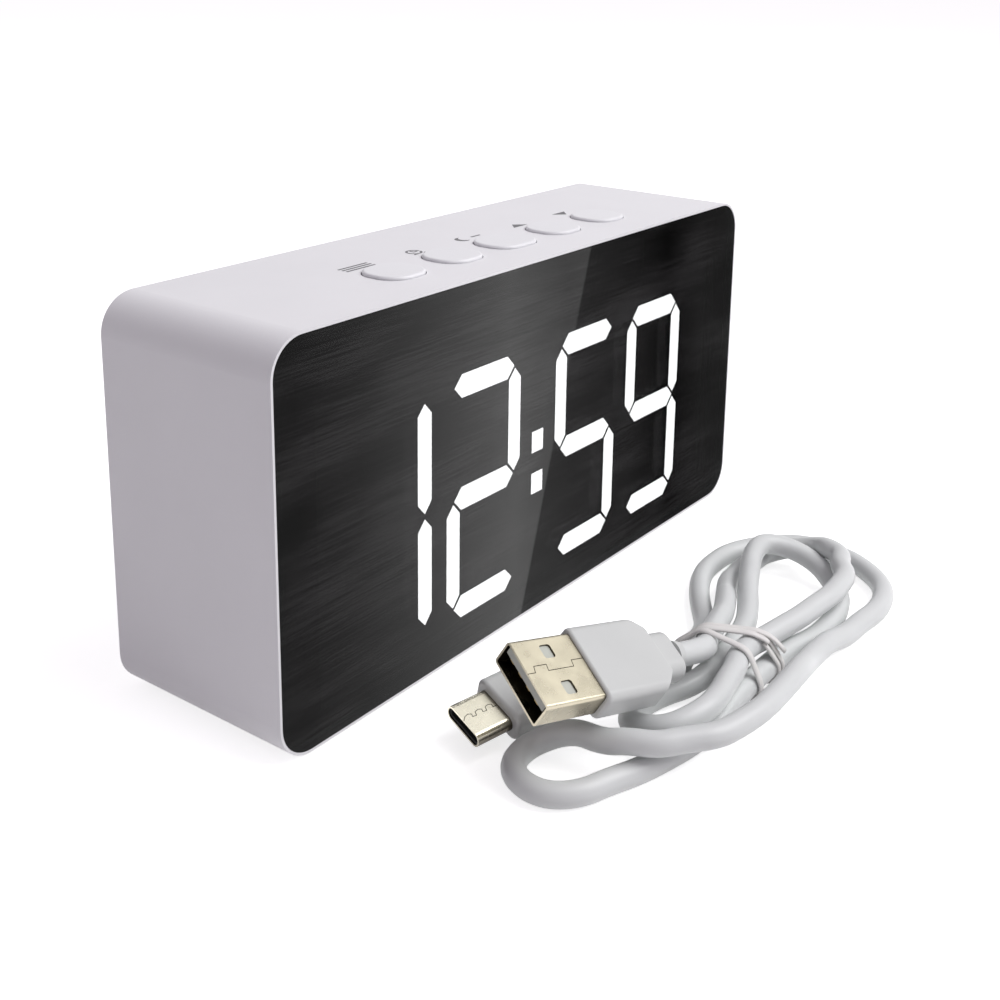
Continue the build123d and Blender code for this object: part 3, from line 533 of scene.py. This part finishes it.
# Sizes are in millimetres, angles in degrees. Each turn of the tie stands in an upright plane: far
# is a point of that plane, angle turns it round the vertical, and a ring is drawn in its y and z.
# The first turn is closed and lies under the others, and a tail is the free end of an open one.
TIE_TURNS = {  # far, angle, width, tail
    "tie_turn_1": ((-8.6, -50.0, 0), 4.0, 1.45, 0),
    "tie_turn_2": ((-9.9, -50.0, 0), 30.0, 1.5, 2.0),
    "tie_turn_3": ((-8.5, -50.0, 0), 30.0, 1.5, 4.2),
}
TIE_THICKNESS = 0.74
TIE_CLEAR = 0.12
TIE_LAP = 0.1
TIE_LOWEST = 0.45
TIE_DROOP = 0.13
# The strand that passes nearer than this isn't held
TIE_NEAR_Y = -70.2
TIE_SIDES = 12
TIE_STEPS = 84
TIE_ARC_STEPS = 24
TIE_TAIL_STEPS = 5
# Steps of the ring that give its free end a direction, that stay open behind it, and roundings
TIE_AIM_STEPS = 3
TIE_OPEN_STEPS = 2
TIE_ROUNDINGS = 2


def hull(points):
    """The convex outline of flat points, counter-clockwise."""
    points = sorted(set(points))

    def half(row):
        chain = []
        for p in row:
            while len(chain) > 1 and (
                (chain[-1][0] - chain[-2][0]) * (p[1] - chain[-2][1])
                - (chain[-1][1] - chain[-2][1]) * (p[0] - chain[-2][0]) <= 0
            ):
                chain.pop()
            chain.append(p)
        return chain[:-1]

    return half(points) + half(points[::-1])


def even_ring(ring, count):
    """A closed outline divided into even steps, and rounded a little."""
    ring = [Vector(p) for p in ring]
    sides = [(b - a).length for a, b in zip(ring, ring[1:] + ring[:1])]
    total = sum(sides)
    out = []
    edge, gone = 0, 0.0
    for n in range(count):
        want = total * n / count
        while gone + sides[edge] < want:
            gone += sides[edge]
            edge += 1
        a, b = ring[edge], ring[(edge + 1) % len(ring)]
        out.append(a.lerp(b, (want - gone) / sides[edge]))
    for _ in range(TIE_ROUNDINGS):
        out = [(out[n - 1] + 2 * p + out[(n + 1) % count]) / 4 for n, p in enumerate(out)]
    return out


def crossings(pairs, far, into):
    """Where the lines between pairs of points pass through a turn's plane."""
    found = []
    for a, b in pairs:
        start, end = into @ (a - far), into @ (b - far)
        if start.x * end.x <= 0 and start.x != end.x:
            found.append(start.lerp(end, start.x / (start.x - end.x)))
    return found


def tie_ring(points, far, into, below):
    """A closed ring, tight round the strands and the turn below, from its upper near corner."""
    strands = [(a, b) for a, b in zip(points, points[1:]) if a.y > TIE_NEAR_Y]
    reach = CABLE_DIAMETER / 2 + TIE_CLEAR + TIE_THICKNESS / 2
    held = [(p, reach) for p in crossings(strands, far, into)]
    lower = crossings(zip(below, below[1:] + below[:1]), far, into)
    held += [(p, TIE_THICKNESS + TIE_LAP) for p in lower]
    dots = []
    for p, radius in held:
        for k in range(TIE_ARC_STEPS):
            turn = 2 * math.pi * k / TIE_ARC_STEPS
            z = max(p.z + radius * math.sin(turn), TIE_LOWEST)
            dots.append((p.y + radius * math.cos(turn), z))
    ring = even_ring(hull(dots), TIE_STEPS)
    first = min(range(TIE_STEPS), key=lambda n: ring[n].x - ring[n].y)
    return ring[first:] + ring[:first]


def opened(ring, tail):
    """The ring run the other way round, behind a free end that droops."""
    ring = ring[::-1]
    along = (ring[0] - ring[TIE_AIM_STEPS]).normalized()
    free = [tail * k / TIE_TAIL_STEPS for k in range(TIE_TAIL_STEPS, 0, -1)]
    end = [ring[0] + along * t - Vector((0, TIE_DROOP * t * t)) for t in free]
    return end + ring[:-TIE_OPEN_STEPS]


def tie_turn(name, points, far, angle, width, tail, below):
    """One turn of the tie, a narrow band with round edges, and its middle line."""
    into = Matrix.Rotation(-math.radians(angle), 3, "Z")
    ring = tie_ring(points, far, into, below)
    closed = tail == 0
    if not closed:
        ring = opened(ring, tail)
    count = len(ring)
    verts, faces = [], []
    for n, p in enumerate(ring):
        if closed:
            way = (ring[(n + 1) % count] - ring[n - 1]).normalized()
        else:
            way = (ring[min(n + 1, count - 1)] - ring[max(n - 1, 0)]).normalized()
        for k in range(TIE_SIDES):
            turn = 2 * math.pi * k / TIE_SIDES
            across = width / 2 * math.cos(turn)
            out = TIE_THICKNESS / 2 * math.sin(turn)
            local = Vector((across, p.x + way.y * out, p.y - way.x * out))
            verts.append((into.transposed() @ local + far) * MM)
    for n in range(count if closed else count - 1):
        a, b = n * TIE_SIDES, (n + 1) % count * TIE_SIDES
        for k in range(TIE_SIDES):
            j = (k + 1) % TIE_SIDES
            faces.append((a + k, a + j, b + j, b + k))
    if not closed:
        faces.append(tuple(range(TIE_SIDES)))
        faces.append(tuple(reversed(range((count - 1) * TIE_SIDES, count * TIE_SIDES))))
    piece = mesh_object(name, verts, faces, TIE)
    rework(piece, lambda shape: bmesh.ops.recalc_face_normals(shape, faces=shape.faces))
    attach(piece, "case")
    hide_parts("cable_tie")
    return piece, [into.transposed() @ Vector((0, p.x, p.y)) + far for p in ring]


cable = cord_object("charging_cable", cable_corners(), CABLE_DIAMETER / 2 * MM, CABLE)
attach(cable, "case")
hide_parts("cable_hank")
strand = middle_line(cable)
ties, lowest = [], []
for name, (far, angle, width, tail) in TIE_TURNS.items():
    piece, line = tie_turn(name, strand, Vector(far), angle, width, tail, lowest)
    ties.append(piece)
    lowest = lowest or line

# ---------------------------------------------------------------- marks on the top

# In millimetres: the height of the print, just over the top, and the middle of each sign
MARK_Z = 68.62
MARK_PLACES = {
    "mode": (-30.2, 1.5), "alarm": (-15.1, 1.6), "snooze": (0.2, 1.6), "up": (15.8, 1.4),
    "down": (31.4, 1.4),
}
# The moon is a disc without the part that a second disc, set to the right, covers
MOON_X = -1.4
MOON_RADIUS = 1.5
SHADE_X = -0.5
SHADE_RADIUS = 1.35
MOON_STEPS = 18
# The clock's ring is cut open by a narrow slit, so that its outline is one line
RING_RADIUS = 1.6
RING_HOLE = 1.15
RING_SWEEP = 350
RING_STEPS = 24


def arc(x, radius, start, end, steps):
    turns = [math.radians(start + (end - start) * n / steps) for n in range(steps + 1)]
    return [(x + radius * math.cos(t), radius * math.sin(t)) for t in turns]


def block(left, low, right, high):
    return [(left, low), (right, low), (right, high), (left, high)]


# Flat generic signs in place of the lettering, drawn round their middle
MARK_OUTLINES = {
    "mode": [block(-3.6, low, 3.6, low + 0.5) for low in (-1.25, -0.25, 0.75)],
    "alarm": [
        arc(0, RING_RADIUS, 0, RING_SWEEP, RING_STEPS)
        + arc(0, RING_HOLE, RING_SWEEP, 0, RING_STEPS),
        [(-0.2, -0.2), (0.9, -0.2), (0.9, 0.2), (0.2, 0.2), (0.2, 1.0), (-0.2, 1.0)],
        [(-1.9, -1.75), (-0.7, -1.75), (-1.3, -1.2)],
        [(0.7, -1.75), (1.9, -1.75), (1.3, -1.2)],
    ],
    "snooze": [
        arc(MOON_X, MOON_RADIUS, 60, 300, MOON_STEPS)
        + arc(SHADE_X, SHADE_RADIUS, 250, 110, MOON_STEPS),
        block(1.2, -0.25, 4.0, 0.25),
    ],
    "up": [[(-2.2, -0.96), (2.2, -0.96), (0, 1.2)]],
    "down": [[(-2.2, 0.96), (2.2, 0.96), (0, -1.2)]],
}


def face_up(shape):
    bmesh.ops.triangulate(shape, faces=shape.faces)
    for face in shape.faces:
        if face.normal.z < 0:
            face.normal_flip()


def make_marks():
    verts, faces = [], []
    for kind, (x, y) in MARK_PLACES.items():
        for outline in MARK_OUTLINES[kind]:
            start = len(verts)
            verts += [((x + a) * MM, (y + b) * MM, MARK_Z * MM) for a, b in outline]
            faces.append(tuple(range(start, len(verts))))
    piece = mesh_object("key_marks", verts, faces, PRINT, smooth=False)
    rework(piece, face_up)
    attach(piece, "case")


make_marks()

# ---------------------------------------------------------------- stage and lights

# Places and sizes are in metres.
FLOOR_HALF = 6.0
FLOOR_DROP = 0.00005
FLOOR_TONES = ((0.80, 0.80, 0.80), (0.82, 0.82, 0.82))
FLOOR_GLOW = 0.72
WORLD_COLOUR = (0.99, 0.895, 1.0)
WORLD_STRENGTH = 0.335
LAMP_PLACE = (0.35, -0.6, 0.85)
LAMP_TARGET = (0, -0.02, 0.03)
LAMP_SIDE = 0.8
LAMP_POWER = 10.1


def make_floor():
    far = FLOOR_HALF
    verts = [(-far, -far, 0), (far, -far, 0), (far, far, 0), (-far, far, 0)]
    m = new_material("pale_floor")
    diffuse = m.add("ShaderNodeBsdfDiffuse")
    m.feed(diffuse.inputs["Color"], m.cloudy(m.noise(scale=8, detail=3), *FLOOR_TONES))
    both = m.add("ShaderNodeAddShader")
    m.feed(both.inputs[0], diffuse.outputs[0])
    m.feed(both.inputs[1], m.emission(m.math("MULTIPLY", m.seen(), FLOOR_GLOW)))
    material = m.finish(both.outputs[0])
    floor = mesh_object("floor", verts, [(0, 1, 2, 3)], material, smooth=False)
    floor.location.z = -FLOOR_DROP


# The card's tones along the panel's width: a soft band of light with a slanting edge, and the dark
# room beyond that edge.
CARD_BAND = [
    (-0.064, 0.17), (-0.050, 0.30), (-0.039, 0.48), (-0.026, 0.68), (-0.010, 0.94), (0.008, 0.52),
]
CARD_ROOM = [(-0.008, 0.36), (0.010, 0.19), (0.022, 0.13), (0.046, 0.02), (0.060, 0.08)]
CARD_STRENGTH = 1.58
CARD_LEAN = 0.085
CARD_SLIDE = 0.06
CARD_LEFT = -0.16
CARD_RIGHT = 0.20
CARD_FOOT = (-0.0192, 0.0001)
CARD_HIGH = 0.12
EDGE_SLANT = 0.448
EDGE_START = -0.0092
EDGE_SOFT = 0.0006


def mirror_card():
    """A leaning card before the panel, which only reflections see, as in a photo studio."""
    foot_y, foot_z = CARD_FOOT
    top_y = foot_y - CARD_LEAN * CARD_HIGH
    verts = [
        (CARD_LEFT, foot_y, foot_z), (CARD_RIGHT, foot_y, foot_z),
        (CARD_RIGHT, top_y, CARD_HIGH), (CARD_LEFT, top_y, CARD_HIGH),
    ]
    m = new_material("mirror_card")
    split = m.add("ShaderNodeSeparateXYZ")
    m.feed(split.inputs[0], m.coords())
    x, z = split.outputs["X"], split.outputs["Z"]
    along = m.math("SUBTRACT", x, m.math("MULTIPLY", z, CARD_SLIDE))

    def tones(stops):
        low, high = stops[0][0], stops[-1][0]
        share = m.math("DIVIDE", m.math("SUBTRACT", along, low), high - low)
        shares = [((place - low) / (high - low), tone) for place, tone in stops]
        return m.ramp(share, greys(shares))

    edge = m.math("ADD", m.math("MULTIPLY", z, EDGE_SLANT), EDGE_START)
    beyond = m.math("DIVIDE", m.math("SUBTRACT", x, edge), EDGE_SOFT)
    side = m.math("MINIMUM", m.math("MAXIMUM", beyond, 0.0), 1.0)
    glow = m.emission(CARD_STRENGTH, m.blend(side, tones(CARD_BAND), tones(CARD_ROOM)))
    behind = m.add("ShaderNodeNewGeometry").outputs["Backfacing"]
    material = m.finish(m.mixed(behind, glow, m.clear()))
    card = mesh_object("mirror_card", verts, [(3, 2, 1, 0)], material, smooth=False)
    card.visible_camera = False
    card.visible_diffuse = False
    card.visible_transmission = False
    card.visible_volume_scatter = False
    card.visible_shadow = False


def make_world():
    """Even light on the object, and plain white where the background is seen."""
    world = bpy.data.worlds.new("world")
    scene.world = world
    m = Nodes(world, "ShaderNodeOutputWorld")
    light = m.add("ShaderNodeBackground")
    m.feed(light.inputs["Color"], WORLD_COLOUR)
    m.feed(light.inputs["Strength"], WORLD_STRENGTH)
    white = m.add("ShaderNodeBackground")
    m.feed(white.inputs["Color"], (1, 1, 1))
    m.finish(m.mixed(m.seen(), light.outputs[0], white.outputs[0]))


def make_lamp():
    data = bpy.data.lights.new("key_light", "AREA")
    data.shape = "RECTANGLE"
    data.size = data.size_y = LAMP_SIDE
    data.energy = LAMP_POWER
    lamp = bpy.data.objects.new("key_light", data)
    lamp.location = Vector(LAMP_PLACE)
    way = Vector(LAMP_TARGET) - Vector(LAMP_PLACE)
    lamp.rotation_euler = way.to_track_quat("-Z", "Y").to_euler()
    scene.collection.objects.link(lamp)


make_floor()
mirror_card()
make_world()
make_lamp()
